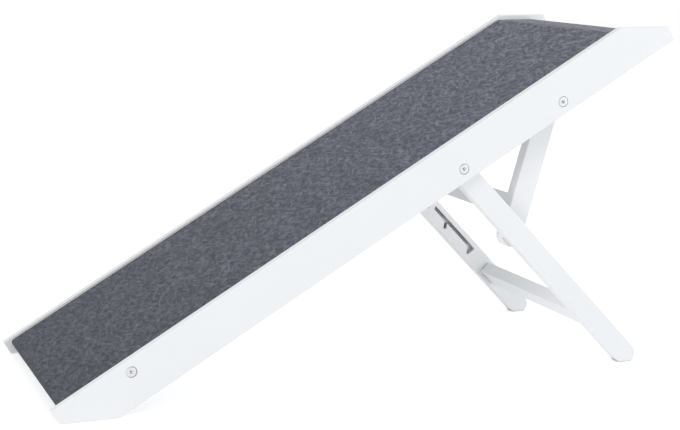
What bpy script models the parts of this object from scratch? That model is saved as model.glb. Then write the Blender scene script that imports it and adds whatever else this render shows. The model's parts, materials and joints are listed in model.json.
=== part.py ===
"""Folding pet ramp: two side rails with a carpeted deck, held up by a pair of notched legs and a pair of braces.

The ramp runs up along +X, and its right-hand side, seen by a pet walking up, faces -Y. The floor is Z = 0.
Three empties carry the pieces. ramp_axis lies along the rails' lower edge, so in its frame X runs up the slope
and Z stands square to it. leg_axis and brace_axis sit on the two pivots, and their X runs down each bar.
"""
import math

import bmesh
import bpy
from mathutils import Matrix, Vector

MM = 0.001
DEG = math.pi / 180

# Side rails: boards on edge, cut level with the floor at the foot and level again at the top
RAMP_ANGLE = 30 * DEG
RAIL_LENGTH = 1000 * MM
RAIL_HEIGHT = 59.7 * MM
RAIL_THICKNESS = 12 * MM
RAMP_WIDTH = 386 * MM
FLOOR_CUT_RISE = 38.4 * MM
TOP_CUT_DROP = 38.5 * MM
RAIL_CORNER_RADIUS = 2 * MM
WOOD_EDGE = 1.2 * MM

# Deck board, housed in a groove along each rail, and the carpet glued over it
DECK_THICKNESS = 15 * MM
DECK_BASE = 35.7 * MM
DECK_START = 15.5 * MM
DECK_GROOVE_DEPTH = 4 * MM
CARPET_THICKNESS = 5 * MM
CARPET_SIDE_GAP = 0.4 * MM
CARPET_LOW_WRAP = 14 * MM
CARPET_FRONT_WRAP = 13 * MM
CARPET_NOSE_RADIUS = 4 * MM

# Landing rail across the top, bevelled level so that the carpet ends in a flat step
LANDING_SETBACK = 27 * MM
LANDING_DEPTH = 61 * MM
LANDING_BASE = 4 * MM
LANDING_SINK = 6.9 * MM

# Legs and braces, cut from one stock
STOCK_WIDTH = 32 * MM
STOCK_THICKNESS = 20 * MM
LEG_PIVOT_STATION = 635 * MM
PIVOT_SPACING = 172.6 * MM
PIVOT_RISE = 17 * MM
LEG_OPEN_ANGLE = 76.9 * DEG
FOOT_FLAT = 3.5 * MM
SIDE_GAP = 1.5 * MM

# Slot on each leg's inner face, with three hooked notches that set the ramp's height
PIN_RADIUS = 2.5 * MM
SLOT_CLEARANCE = 0.3 * MM
SLOT_DEPTH = 10 * MM
SLOT_OFFSET = 5 * MM
SLOT_OVERRUN = 1.5 * MM
NOTCH_COUNT = 3
FIRST_NOTCH = 139.5 * MM
NOTCH_PITCH = 60.5 * MM
NOTCH_OFFSET = -4.5 * MM
NOTCH_LEAD = 7 * MM

# Crossbars, from the same stock, with their wide faces along the bars that they join
LEG_BAR_STATION = 315 * MM
BRACE_BAR_STATION = 159 * MM

# Flush-headed furniture bolts, their threaded inserts, washers and spacers
BOLT_RADIUS = 3 * MM
BOLT_HEAD_RADIUS = 6.9 * MM
BOLT_HEAD_THICKNESS = 2.4 * MM
BOLT_HEAD_SINK = 0.3 * MM
BOLT_RIM = 0.4 * MM
BOLT_HEAD_CLEARANCE = 0.6 * MM
SOCKET_ACROSS_FLATS = 4 * MM
SOCKET_DEPTH = 1.6 * MM
INSERT_RADIUS = 4.6 * MM
INSERT_LENGTH = 13 * MM
INSERT_FLANGE_RADIUS = 6.2 * MM
INSERT_FLANGE = 1.2 * MM
WASHER_RADIUS = 9 * MM
SPACER_RADIUS = 8 * MM

# Deck bolts run into barrel nuts let into the deck board from below
DECK_BOLT_STATION = 112 * MM
DECK_BOLT_LENGTH = 50 * MM
BARREL_RADIUS = 5 * MM
BARREL_LENGTH = 11 * MM
BARREL_INSET = 32 * MM

# Glued dowels
DOWEL_RADIUS = 4 * MM
DOWEL_LENGTH = 30 * MM
DOWEL_CHAMFER = 0.8 * MM
BAR_DOWEL_HOLD = 10 * MM
RAIL_DOWEL_HOLD = 7 * MM
BAR_DOWEL_SPACING = 15 * MM
DECK_DOWEL_RADIUS = 3 * MM
DECK_DOWEL_COUNT = 3
DECK_DOWEL_SPACING = 110 * MM
END_DOWEL_LOW = 14 * MM
END_DOWEL_HIGH = 33 * MM
END_DOWEL_LOW_INSET = 18 * MM
END_DOWEL_HIGH_INSET = 14 * MM

# Clearances: between faces that touch, and round anything that turns in a hole
GAP = 0.3 * MM
BORE_GAP = 0.3 * MM
OVERCUT = 2 * MM

ARC_STEP = 10 * DEG
SLOT_ARC_STEP = 20 * DEG
TURN_STEPS = 24
BORE_STEPS = 16
MERGE = 0.00001

# The pieces that come in pairs, and the way each one's outer face looks
SIDES = (("right", -1), ("left", 1))
BAR_DOWELS = (("upper", -BAR_DOWEL_SPACING / 2), ("lower", BAR_DOWEL_SPACING / 2))

# Worked out from the sizes above
SLOPE = math.tan(RAMP_ANGLE)
RAIL_INNER = RAMP_WIDTH / 2 - RAIL_THICKNESS
LEG_OUTER = RAIL_INNER - SIDE_GAP
LEG_INNER = LEG_OUTER - STOCK_THICKNESS
BRACE_OUTER = LEG_INNER - SIDE_GAP
BRACE_INNER = BRACE_OUTER - STOCK_THICKNESS
DECK_TOP = DECK_BASE + DECK_THICKNESS
LANDING_FRONT = RAIL_LENGTH - LANDING_SETBACK
LANDING_BACK = LANDING_FRONT - LANDING_DEPTH
HALF_STOCK = STOCK_WIDTH / 2
FLOOR_DROP = FLOOR_CUT_RISE * math.cos(RAMP_ANGLE)
LEG_FALL = LEG_OPEN_ANGLE - RAMP_ANGLE
PIVOT_HEIGHT = LEG_PIVOT_STATION * math.sin(RAMP_ANGLE) + PIVOT_RISE * math.cos(RAMP_ANGLE) - FLOOR_DROP
LEG_REACH = (PIVOT_HEIGHT - HALF_STOCK + FOOT_FLAT) / math.sin(LEG_FALL)
SLOT_WIDTH = 2 * (PIN_RADIUS + SLOT_CLEARANCE)

# The brace runs from its own pivot to the first notch, and folds flat with its pin at the slot's top
PIN_STATION = (LEG_PIVOT_STATION + FIRST_NOTCH * math.cos(LEG_OPEN_ANGLE) + NOTCH_OFFSET * math.sin(LEG_OPEN_ANGLE))
PIN_RISE = PIVOT_RISE - FIRST_NOTCH * math.sin(LEG_OPEN_ANGLE) + NOTCH_OFFSET * math.cos(LEG_OPEN_ANGLE)
BRACE_RUN = LEG_PIVOT_STATION + PIVOT_SPACING - PIN_STATION
BRACE_DROP = PIVOT_RISE - PIN_RISE
BRACE_REACH = math.hypot(BRACE_RUN, BRACE_DROP)
BRACE_OPEN_ANGLE = math.atan2(BRACE_DROP, BRACE_RUN)
SLOT_TOP = math.sqrt(BRACE_REACH ** 2 - SLOT_OFFSET ** 2) - PIVOT_SPACING
SLOT_END = FIRST_NOTCH + (NOTCH_COUNT - 1) * NOTCH_PITCH + SLOT_OVERRUN

# Paints and metals: colour, roughness, metallic
FINISHES = {
    "white_paint": ((0.86, 0.87, 0.88), 0.42, 0.0),
    "carpet_felt": ((0.105, 0.115, 0.135), 0.95, 0.0),
    "beech": ((0.72, 0.55, 0.36), 0.6, 0.0),
    "zinc_steel": ((0.62, 0.63, 0.64), 0.32, 1.0),
    "brass": ((0.72, 0.56, 0.28), 0.35, 1.0),
    "nylon": ((0.88, 0.88, 0.86), 0.5, 0.0),
}


def clear_scene():
    for old in list(bpy.data.objects):
        bpy.data.objects.remove(old, do_unlink=True)


def new_collection(name):
    group = bpy.data.collections.new(name)
    bpy.context.scene.collection.children.link(group)
    return group


def finish(name):
    material = bpy.data.materials.new(name)
    material.use_nodes = True
    shader = material.node_tree.nodes["Principled BSDF"]
    colour, roughness, metallic = FINISHES[name]
    shader.inputs["Base Color"].default_value = (*colour, 1.0)
    shader.inputs["Roughness"].default_value = roughness
    shader.inputs["Metallic"].default_value = metallic
    return material


def add_empty(name, parent, place, turn):
    empty = bpy.data.objects.new(name, None)
    empty.empty_display_size = 0.05
    empty.location = place
    empty.rotation_euler = (0, turn, 0)
    empty.parent = parent
    PIECES.objects.link(empty)
    return empty


def add_piece(name, mesh, parent, paint, smooth=30 * DEG):
    piece = bpy.data.objects.new(name, mesh)
    piece.parent = parent
    mesh.materials.append(MATERIALS[paint])
    mesh.shade_smooth()
    mesh.set_sharp_from_angle(angle=smooth)
    PIECES.objects.link(piece)
    return piece


def arc(centre, radius, start, end, step=ARC_STEP):
    """Points along an arc, both ends included."""
    count = max(2, round(abs(end - start) / step))
    angles = [start + (end - start) * i / count for i in range(count + 1)]
    return [(centre[0] + radius * math.cos(a), centre[1] + radius * math.sin(a)) for a in angles]


def rounded(corners, radii):
    """An outline with each of its corners rounded by its own radius, 0 for a sharp one."""
    outline = []
    for i, corner in enumerate(corners):
        here = Vector(corner)
        back = (Vector(corners[i - 1]) - here).normalized()
        ahead = (Vector(corners[(i + 1) % len(corners)]) - here).normalized()
        if radii[i] == 0:
            outline.append(corner)
            continue
        half = back.angle(ahead) / 2
        centre = here + (back + ahead).normalized() * radii[i] / math.sin(half)
        first = here + back * radii[i] / math.tan(half) - centre
        last = here + ahead * radii[i] / math.tan(half) - centre
        start = math.atan2(first.y, first.x)
        sweep = (math.atan2(last.y, last.x) - start + math.pi) % (2 * math.pi) - math.pi
        outline += arc(centre, radii[i], start, start + sweep)
    return outline


def stadium(start, end, width, step=ARC_STEP):
    """A bar's outline with full round ends, from one end's centre to the other's."""
    heading = math.atan2(end[1] - start[1], end[0] - start[0])
    quarter = math.pi / 2
    near = arc(start, width / 2, heading + quarter, heading + 3 * quarter, step)
    far = arc(end, width / 2, heading - quarter, heading + quarter, step)
    return near + far


def planed(outline, away, limit):
    """An outline with all that lies past a straight line taken off."""
    kept = []
    for i, point in enumerate(outline):
        before, here = Vector(outline[i - 1]), Vector(point)
        depth_before, depth = before.dot(away) - limit, here.dot(away) - limit
        if depth_before * depth < 0:
            kept.append(tuple(before.lerp(here, depth_before / (depth_before - depth))))
        if depth <= 0:
            kept.append(tuple(here))
    return kept


def outline_mesh(name, outline, low, high):
    """A closed mesh that fills an outline in the XZ plane between two planes square to Y."""
    curve = bpy.data.curves.new(name, "CURVE")
    curve.dimensions = "2D"
    curve.fill_mode = "BOTH"
    curve.extrude = (high - low) / 2
    spline = curve.splines.new("POLY")
    spline.points.add(len(outline) - 1)
    for point, (x, z) in zip(spline.points, outline):
        point.co = (x, z, 0, 1)
    spline.use_cyclic_u = True
    holder = bpy.data.objects.new(name, curve)
    bpy.context.scene.collection.objects.link(holder)
    mesh = bpy.data.meshes.new_from_object(holder)
    bpy.data.objects.remove(holder)
    mesh.transform(Matrix.Translation((0, (low + high) / 2, 0)) @ Matrix.Rotation(math.pi / 2, 4, "X"))
    shell = bmesh.new()
    shell.from_mesh(mesh)
    bmesh.ops.remove_doubles(shell, verts=shell.verts, dist=MERGE)
    bmesh.ops.recalc_face_normals(shell, faces=shell.faces)
    bmesh.ops.dissolve_limit(shell, angle_limit=0.1 * DEG, verts=shell.verts, edges=shell.edges)
    shell.to_mesh(mesh)
    shell.free()
    return mesh


def box_mesh(name, low, high):
    mesh = bpy.data.meshes.new(name)
    block = bmesh.new()
    bmesh.ops.create_cube(block, size=1)
    size = Vector(high) - Vector(low)
    middle = (Vector(high) + Vector(low)) / 2
    bmesh.ops.scale(block, vec=size, verts=block.verts)
    bmesh.ops.translate(block, vec=middle, verts=block.verts)
    block.to_mesh(mesh)
    block.free()
    return mesh


def rod_mesh(name, radius, start, end, segments=TURN_STEPS):
    """A plain round bar between two points, or a hexagonal one with six segments."""
    mesh = bpy.data.meshes.new(name)
    rod = bmesh.new()
    run = Vector(end) - Vector(start)
    bmesh.ops.create_cone(
        rod, cap_ends=True, segments=segments, radius1=radius, radius2=radius, depth=run.length
    )
    turn = run.to_track_quat("Z", "Y").to_matrix().to_4x4()
    middle = (Vector(start) + Vector(end)) / 2
    bmesh.ops.transform(rod, matrix=Matrix.Translation(middle) @ turn, verts=rod.verts)
    rod.to_mesh(mesh)
    rod.free()
    return mesh


def ease_edges(piece, width=WOOD_EDGE, segments=2):
    bevel = piece.modifiers.new("eased edges", "BEVEL")
    bevel.width = width
    bevel.segments = segments
    bevel.limit_method = "ANGLE"
    bevel.angle_limit = 40 * DEG


def cut(piece, mesh):
    """Cuts a mesh, given in the same frame as the piece, out of the piece."""
    cutter = bpy.data.objects.new(mesh.name, mesh)
    cutter.parent = piece.parent
    cutter.hide_render = True
    cutter.display_type = "WIRE"
    CUTTERS.objects.link(cutter)
    boolean = piece.modifiers.new(mesh.name, "BOOLEAN")
    boolean.operation = "DIFFERENCE"
    boolean.solver = "EXACT"
    boolean.object = cutter


def turned(name, profile, parent, place, paint, toward, ring=False, steps=TURN_STEPS):
    """A turned piece: radius and height pairs that run down its outer side, spun about an axis."""
    mesh = bpy.data.meshes.new(name)
    path = bmesh.new()
    corners = [path.verts.new((radius, 0, height)) for radius, height in profile]
    for first, second in zip(corners, corners[1:]):
        path.edges.new((first, second))
    if ring:
        path.edges.new((corners[-1], corners[0]))
    path.to_mesh(mesh)
    path.free()
    piece = bpy.data.objects.new(name, mesh)
    piece.parent = parent
    piece.location = place
    piece.rotation_mode = "QUATERNION"
    piece.rotation_quaternion = Vector(toward).to_track_quat("Z", "Y")
    mesh.materials.append(MATERIALS[paint])
    PIECES.objects.link(piece)
    screw = piece.modifiers.new("turning", "SCREW")
    screw.axis = "Z"
    screw.steps = steps
    screw.render_steps = steps
    screw.use_merge_vertices = True
    screw.merge_threshold = MERGE
    screw.use_smooth_shade = False
    return piece


def ring_profile(inner, outer, length):
    """A sleeve's section, from its face at 0 down to its other end."""
    return [(inner, 0), (outer, 0), (outer, -length), (inner, -length)]


def flush_bolt(name, parent, place, facing, shank, radius=BOLT_RADIUS):
    """A bolt whose rim lies at place, with its head facing +Y or -Y and a shank below the head."""
    station, face, rise = place
    shoulder = -BOLT_HEAD_THICKNESS
    profile = [
        (0, 0), (BOLT_HEAD_RADIUS - BOLT_RIM, 0), (BOLT_HEAD_RADIUS, -BOLT_RIM), (BOLT_HEAD_RADIUS, shoulder),
        (radius, shoulder), (radius, shoulder - shank + BOLT_RIM), (radius - BOLT_RIM, shoulder - shank),
        (0, shoulder - shank),
    ]
    bolt = turned(name, profile, parent, place, "zinc_steel", (0, facing, 0))
    cut(bolt, rod_mesh(
        name + "_socket", SOCKET_ACROSS_FLATS / math.sqrt(3), (station, face - facing * SOCKET_DEPTH, rise),
        (station, face + facing * OVERCUT, rise), segments=6,
    ))


def dowel(name, parent, middle, toward, radius=DOWEL_RADIUS):
    edge = DOWEL_LENGTH / 2
    profile = [
        (0, edge), (radius - DOWEL_CHAMFER, edge), (radius, edge - DOWEL_CHAMFER),
        (radius, DOWEL_CHAMFER - edge), (radius - DOWEL_CHAMFER, -edge), (0, -edge),
    ]
    turned(name, profile, parent, middle, "beech", toward, steps=BORE_STEPS)


def dowel_hole(piece, name, place, toward, depth, radius=DOWEL_RADIUS):
    """A blind hole for a dowel, from its mouth at place into the wood."""
    away = Vector(toward).normalized()
    start = Vector(place) - away * OVERCUT
    cut(piece, rod_mesh(name, radius + BORE_GAP, start, Vector(place) + away * (depth + GAP), BORE_STEPS))


def ramp_point(station, level):
    """The height square to the slope, at a station, of a level plane above the floor."""
    return (level + FLOOR_DROP - station * math.sin(RAMP_ANGLE)) / math.cos(RAMP_ANGLE)


def level_meets(rise, level):
    """The station at which a level plane crosses a line parallel to the slope."""
    return (level + FLOOR_DROP - rise * math.cos(RAMP_ANGLE)) / math.sin(RAMP_ANGLE)


def rail_outline():
    foot = FLOOR_CUT_RISE / SLOPE
    crest = RAIL_LENGTH - TOP_CUT_DROP / SLOPE
    corners = [
        (0, RAIL_HEIGHT), (0, FLOOR_CUT_RISE), (foot, 0), (RAIL_LENGTH, 0),
        (RAIL_LENGTH, RAIL_HEIGHT - TOP_CUT_DROP), (crest, RAIL_HEIGHT),
    ]
    return rounded(corners, [0, RAIL_CORNER_RADIUS, RAIL_CORNER_RADIUS, 0, RAIL_CORNER_RADIUS, RAIL_CORNER_RADIUS])


def bolt_hole(rail, name, side, station, rise, face=RAMP_WIDTH / 2, through=RAIL_THICKNESS):
    """A clearance hole with a counterbore for a flush head, from the outer face inwards."""
    outside = Vector((station, side * (face + OVERCUT), rise))
    seat = face - BOLT_HEAD_SINK - BOLT_HEAD_THICKNESS - GAP
    cut(rail, rod_mesh(name + "_counterbore", BOLT_HEAD_RADIUS + BOLT_HEAD_CLEARANCE, outside,
                       (station, side * seat, rise)))
    cut(rail, rod_mesh(name + "_bore", BOLT_RADIUS + BORE_GAP, outside,
                       (station, side * (face - through - OVERCUT), rise), BORE_STEPS))


def landing_level():
    """Height above the floor of the wood under the landing's carpet."""
    rail_top = (RAIL_LENGTH - TOP_CUT_DROP / SLOPE) * math.sin(RAMP_ANGLE) + RAIL_HEIGHT * math.cos(RAMP_ANGLE)
    return rail_top - FLOOR_DROP - LANDING_SINK - CARPET_THICKNESS


def make_side_rail(name, side, axis):
    low, high = sorted((side * RAIL_INNER, side * RAMP_WIDTH / 2))
    rail = add_piece(name, outline_mesh(name, rail_outline(), low, high), axis, "white_paint")
    ease_edges(rail)
    groove = box_mesh(
        name + "_deck_groove",
        (DECK_START - GAP, -RAIL_INNER - DECK_GROOVE_DEPTH, DECK_BASE - GAP),
        (LANDING_BACK, RAIL_INNER + DECK_GROOVE_DEPTH, DECK_TOP + GAP),
    )
    cut(rail, groove)
    bolt_hole(rail, name + "_deck_bolt", side, DECK_BOLT_STATION, DECK_BASE + DECK_THICKNESS / 2)
    bolt_hole(rail, name + "_leg_pivot", side, LEG_PIVOT_STATION, PIVOT_RISE)
    bolt_hole(rail, name + "_brace_pivot", side, LEG_PIVOT_STATION + PIVOT_SPACING, PIVOT_RISE)
    for station, rise in end_dowel_places():
        dowel_hole(rail, name + "_dowel", (station, side * RAIL_INNER, rise), (0, side, 0), RAIL_DOWEL_HOLD)
    return rail


def end_dowel_places():
    low = (LANDING_FRONT - END_DOWEL_LOW_INSET, END_DOWEL_LOW)
    high = (LANDING_BACK + END_DOWEL_HIGH_INSET, END_DOWEL_HIGH)
    return [low, high]


def deck_dowel_places():
    middle = (DECK_DOWEL_COUNT - 1) / 2
    rise = DECK_BASE + DECK_THICKNESS / 2
    return [(LANDING_BACK, (i - middle) * DECK_DOWEL_SPACING, rise) for i in range(DECK_DOWEL_COUNT)]


def make_deck_board(axis):
    half = RAIL_INNER + DECK_GROOVE_DEPTH - GAP
    mesh = box_mesh("deck_board", (DECK_START, -half, DECK_BASE), (LANDING_BACK - GAP, half, DECK_TOP))
    deck = add_piece("deck_board", mesh, axis, "white_paint")
    rise = DECK_BASE + DECK_THICKNESS / 2
    tip = RAMP_WIDTH / 2 - BOLT_HEAD_SINK - BOLT_HEAD_THICKNESS - DECK_BOLT_LENGTH
    for side in (-1, 1):
        start = (DECK_BOLT_STATION, side * (half + OVERCUT), rise)
        end = (DECK_BOLT_STATION, side * (tip - GAP), rise)
        cut(deck, rod_mesh("deck_bolt_bore", BOLT_RADIUS + BORE_GAP, start, end, BORE_STEPS))
        barrel = RAIL_INNER - BARREL_INSET
        start = (DECK_BOLT_STATION, side * barrel, DECK_BASE - OVERCUT)
        end = (DECK_BOLT_STATION, side * barrel, barrel_top() + GAP)
        cut(deck, rod_mesh("deck_barrel_bore", BARREL_RADIUS + BORE_GAP, start, end))
    for place in deck_dowel_places():
        dowel_hole(deck, "deck_dowel_hole", place, (-1, 0, 0), DOWEL_LENGTH / 2, DECK_DOWEL_RADIUS)
    return deck


def barrel_top():
    return DECK_BASE + DECK_THICKNESS / 2 + BARREL_LENGTH / 2


def make_landing_rail(axis):
    level = landing_level()
    crest = level_meets(DECK_TOP, level)
    corners = [
        (LANDING_BACK, DECK_TOP), (LANDING_BACK, LANDING_BASE), (LANDING_FRONT, LANDING_BASE),
        (LANDING_FRONT, ramp_point(LANDING_FRONT, level)), (crest, DECK_TOP),
    ]
    half = RAIL_INNER - GAP
    landing = add_piece("landing_rail", outline_mesh("landing_rail", corners, -half, half), axis, "white_paint")
    for side in (-1, 1):
        for station, rise in end_dowel_places():
            dowel_hole(landing, "landing_end_hole", (station, side * half, rise), (0, -side, 0),
                       DOWEL_LENGTH - RAIL_DOWEL_HOLD)
    for place in deck_dowel_places():
        dowel_hole(landing, "landing_back_hole", place, (1, 0, 0), DOWEL_LENGTH / 2, DECK_DOWEL_RADIUS)
    return landing


def make_carpet(axis):
    """One strip of felt: down over the deck's foot, up the slope, level over the landing and down its front."""
    level = landing_level()
    inside = [
        (DECK_START - GAP, DECK_TOP - CARPET_LOW_WRAP), (DECK_START - GAP, DECK_TOP + GAP),
        (level_meets(DECK_TOP + GAP, level + GAP), DECK_TOP + GAP),
        (LANDING_FRONT + GAP, ramp_point(LANDING_FRONT + GAP, level + GAP)),
        (LANDING_FRONT + GAP, ramp_point(LANDING_FRONT, level) - CARPET_FRONT_WRAP),
    ]
    top = DECK_TOP + CARPET_THICKNESS
    upper = level + CARPET_THICKNESS
    foot = DECK_START - CARPET_THICKNESS
    front = LANDING_FRONT + CARPET_THICKNESS
    outside = [
        (front, inside[-1][1]), (front, ramp_point(front, upper)), (level_meets(top, upper), top),
        (foot, top), (foot, inside[0][1]),
    ]
    nose = CARPET_NOSE_RADIUS
    radii = [0, 0, 0, 0, 0, 0, nose, nose, nose, 0]
    half = RAIL_INNER - CARPET_SIDE_GAP
    return add_piece("carpet", outline_mesh("carpet", rounded(inside + outside, radii), -half, half), axis,
                     "carpet_felt", smooth=50 * DEG)


def make_deck_fastener(label, side, axis):
    """A bolt through the rail into the deck's edge, and the barrel nut that it screws into."""
    rise = DECK_BASE + DECK_THICKNESS / 2
    head = (DECK_BOLT_STATION, side * (RAMP_WIDTH / 2 - BOLT_HEAD_SINK), rise)
    flush_bolt("deck_bolt_" + label, axis, head, side, DECK_BOLT_LENGTH)
    middle = side * (RAIL_INNER - BARREL_INSET)
    reach = BARREL_RADIUS + OVERCUT
    profile = [(0, 0), (BARREL_RADIUS, 0), (BARREL_RADIUS, -BARREL_LENGTH), (0, -BARREL_LENGTH)]
    place = (DECK_BOLT_STATION, middle, barrel_top())
    nut = turned("deck_barrel_nut_" + label, profile, axis, place, "zinc_steel", (0, 0, 1), steps=BORE_STEPS)
    cut(nut, rod_mesh("barrel_cross_bore", BOLT_RADIUS + BORE_GAP, (DECK_BOLT_STATION, middle - reach, rise),
                      (DECK_BOLT_STATION, middle + reach, rise), BORE_STEPS))


def make_frame_sleeves(label, side, axis):
    """The thin washer between rail and leg, and the thick spacer between rail and brace."""
    inner = BOLT_RADIUS + BORE_GAP
    face = side * (RAIL_INNER - GAP)
    washer = ring_profile(inner, WASHER_RADIUS, SIDE_GAP - 2 * GAP)
    turned("leg_washer_" + label, washer, axis, (LEG_PIVOT_STATION, face, PIVOT_RISE), "nylon", (0, side, 0),
           ring=True)
    spacer = ring_profile(inner, SPACER_RADIUS, RAIL_INNER - BRACE_OUTER - 2 * GAP)
    turned("brace_spacer_" + label, spacer, axis, (LEG_PIVOT_STATION + PIVOT_SPACING, face, PIVOT_RISE), "nylon",
           (0, side, 0), ring=True)


def make_frame_dowels(axis):
    for label, side in SIDES:
        middle = side * (RAIL_INNER + RAIL_DOWEL_HOLD - DOWEL_LENGTH / 2)
        for spot, (station, rise) in zip(("low", "high"), end_dowel_places()):
            dowel(f"landing_dowel_{label}_{spot}", axis, (station, middle, rise), (0, side, 0))
    for i, place in enumerate(deck_dowel_places()):
        dowel(f"deck_dowel_{i + 1}", axis, place, (1, 0, 0), DECK_DOWEL_RADIUS)


def pivot_bore(bar, name, side, outer, inner):
    """The pivot's hole through a bar, opened out from the inner face for a flanged insert."""
    outside = (0, side * (outer + OVERCUT), 0)
    inside = Vector((0, side * (inner - OVERCUT), 0))
    cut(bar, rod_mesh(name + "_bore", BOLT_RADIUS + BORE_GAP, outside, inside, BORE_STEPS))
    cut(bar, rod_mesh(name + "_insert_bore", INSERT_RADIUS + BORE_GAP, inside,
                      (0, side * (inner + INSERT_LENGTH), 0), BORE_STEPS))
    cut(bar, rod_mesh(name + "_flange_bore", INSERT_FLANGE_RADIUS + BORE_GAP, inside,
                      (0, side * (inner + INSERT_FLANGE + GAP), 0), BORE_STEPS))


def pivot_hardware(name, label, side, axis, inner):
    """A pivot bolt through the rail, and the threaded insert in the bar's inner face that it screws into."""
    face = RAMP_WIDTH / 2 - BOLT_HEAD_SINK
    shank = face - BOLT_HEAD_THICKNESS - inner - INSERT_FLANGE
    flush_bolt(f"{name}_pivot_bolt_{label}", axis, (0, side * face, 0), side, shank)
    bore = BOLT_RADIUS + BORE_GAP
    profile = [
        (bore, 0), (INSERT_FLANGE_RADIUS, 0), (INSERT_FLANGE_RADIUS, -INSERT_FLANGE),
        (INSERT_RADIUS, -INSERT_FLANGE), (INSERT_RADIUS, GAP - INSERT_LENGTH), (bore, GAP - INSERT_LENGTH),
    ]
    turned(f"{name}_insert_{label}", profile, axis, (0, side * inner, 0), "brass", (0, -side, 0), ring=True,
           steps=BORE_STEPS)


def leg_outline():
    """A round-ended bar whose foot is planed flat where it stands on the floor."""
    bar = stadium((0, 0), (LEG_REACH, 0), STOCK_WIDTH)
    down = Vector((math.sin(LEG_FALL), -math.cos(LEG_FALL)))
    return planed(bar, down, PIVOT_HEIGHT)


def slot_channels():
    """The slot, its notches, which hook back from it, and the turn that joins its end to the last notch."""
    channels = [("slot", (SLOT_TOP, SLOT_OFFSET), (SLOT_END, SLOT_OFFSET))]
    for i in range(NOTCH_COUNT):
        station = FIRST_NOTCH + i * NOTCH_PITCH
        channels.append((f"notch_{i + 1}", (station - NOTCH_LEAD, SLOT_OFFSET), (station, NOTCH_OFFSET)))
    channels.append(("slot_turn", (SLOT_END, SLOT_OFFSET), (station, NOTCH_OFFSET)))
    return channels


def make_leg(name, side, axis):
    low, high = sorted((side * LEG_INNER, side * LEG_OUTER))
    leg = add_piece(name, outline_mesh(name, leg_outline(), low, high), axis, "white_paint")
    ease_edges(leg)
    pivot_bore(leg, name, side, LEG_OUTER, LEG_INNER)
    slot_low, slot_high = sorted((side * (LEG_INNER - OVERCUT), side * (LEG_INNER + SLOT_DEPTH)))
    for channel, start, end in slot_channels():
        run = stadium(start, end, SLOT_WIDTH, SLOT_ARC_STEP)
        cut(leg, outline_mesh(f"{name}_{channel}", run, slot_low, slot_high))
    for spot, along in BAR_DOWELS:
        mouth = (LEG_BAR_STATION + along, side * LEG_INNER, 0)
        dowel_hole(leg, f"{name}_{spot}_dowel_hole", mouth, (0, side, 0), BAR_DOWEL_HOLD)
    return leg


def crossbar_mesh(name, station, half):
    reach = Vector((HALF_STOCK, half, STOCK_THICKNESS / 2))
    middle = Vector((station, 0, 0))
    return box_mesh(name, middle - reach, middle + reach)


def make_crossbar(name, pair, station, inner, axis):
    """A crossbar between the two bars of a pair, with its glued dowels."""
    half = inner - GAP
    bar = add_piece(name, crossbar_mesh(name, station, half), axis, "white_paint")
    ease_edges(bar)
    middle = inner + BAR_DOWEL_HOLD - DOWEL_LENGTH / 2
    for label, side in SIDES:
        for spot, along in BAR_DOWELS:
            mouth = (station + along, side * half, 0)
            dowel_hole(bar, f"{name}_{label}_{spot}_hole", mouth, (0, -side, 0), DOWEL_LENGTH - BAR_DOWEL_HOLD)
            dowel(f"{pair}_dowel_{label}_{spot}", axis, (station + along, side * middle, 0), (0, side, 0))


def make_leg_frame(axis):
    for label, side in SIDES:
        make_leg("support_leg_" + label, side, axis)
        pivot_hardware("leg", label, side, axis, LEG_INNER)
    make_crossbar("leg_stretcher", "leg", LEG_BAR_STATION, LEG_INNER, axis)


def make_brace(name, side, axis):
    low, high = sorted((side * BRACE_INNER, side * BRACE_OUTER))
    bar = stadium((0, 0), (BRACE_REACH, 0), STOCK_WIDTH)
    brace = add_piece(name, outline_mesh(name, bar, low, high), axis, "white_paint")
    ease_edges(brace)
    pivot_bore(brace, name, side, BRACE_OUTER, BRACE_INNER)
    inside = Vector((BRACE_REACH, side * (BRACE_INNER - OVERCUT), 0))
    seat = BRACE_INNER + BOLT_HEAD_SINK + BOLT_HEAD_THICKNESS + GAP
    cut(brace, rod_mesh(name + "_pin_counterbore", BOLT_HEAD_RADIUS + BOLT_HEAD_CLEARANCE, inside,
                        (BRACE_REACH, side * seat, 0)))
    cut(brace, rod_mesh(name + "_pin_bore", PIN_RADIUS + BORE_GAP, inside,
                        (BRACE_REACH, side * (BRACE_OUTER + OVERCUT), 0), BORE_STEPS))
    for spot, along in BAR_DOWELS:
        mouth = (BRACE_BAR_STATION + along, side * BRACE_INNER, 0)
        dowel_hole(brace, f"{name}_{spot}_dowel_hole", mouth, (0, side, 0), BAR_DOWEL_HOLD)
    return brace


def make_notch_pin(label, side, axis):
    """The pin at the brace's lower end, which stops just short of the leg, and its washer."""
    head = BRACE_INNER + BOLT_HEAD_SINK
    shank = LEG_INNER - GAP - head - BOLT_HEAD_THICKNESS
    flush_bolt("notch_pin_" + label, axis, (BRACE_REACH, side * head, 0), -side, shank, PIN_RADIUS)
    washer = ring_profile(PIN_RADIUS + BORE_GAP, WASHER_RADIUS, SIDE_GAP - 2 * GAP)
    turned("pin_washer_" + label, washer, axis, (BRACE_REACH, side * (LEG_INNER - GAP), 0), "nylon",
           (0, side, 0), ring=True)


def make_brace_frame(axis):
    for label, side in SIDES:
        make_brace("brace_" + label, side, axis)
        pivot_hardware("brace", label, side, axis, BRACE_INNER)
        make_notch_pin(label, side, axis)
    make_crossbar("brace_stretcher", "brace", BRACE_BAR_STATION, BRACE_INNER, axis)


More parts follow.
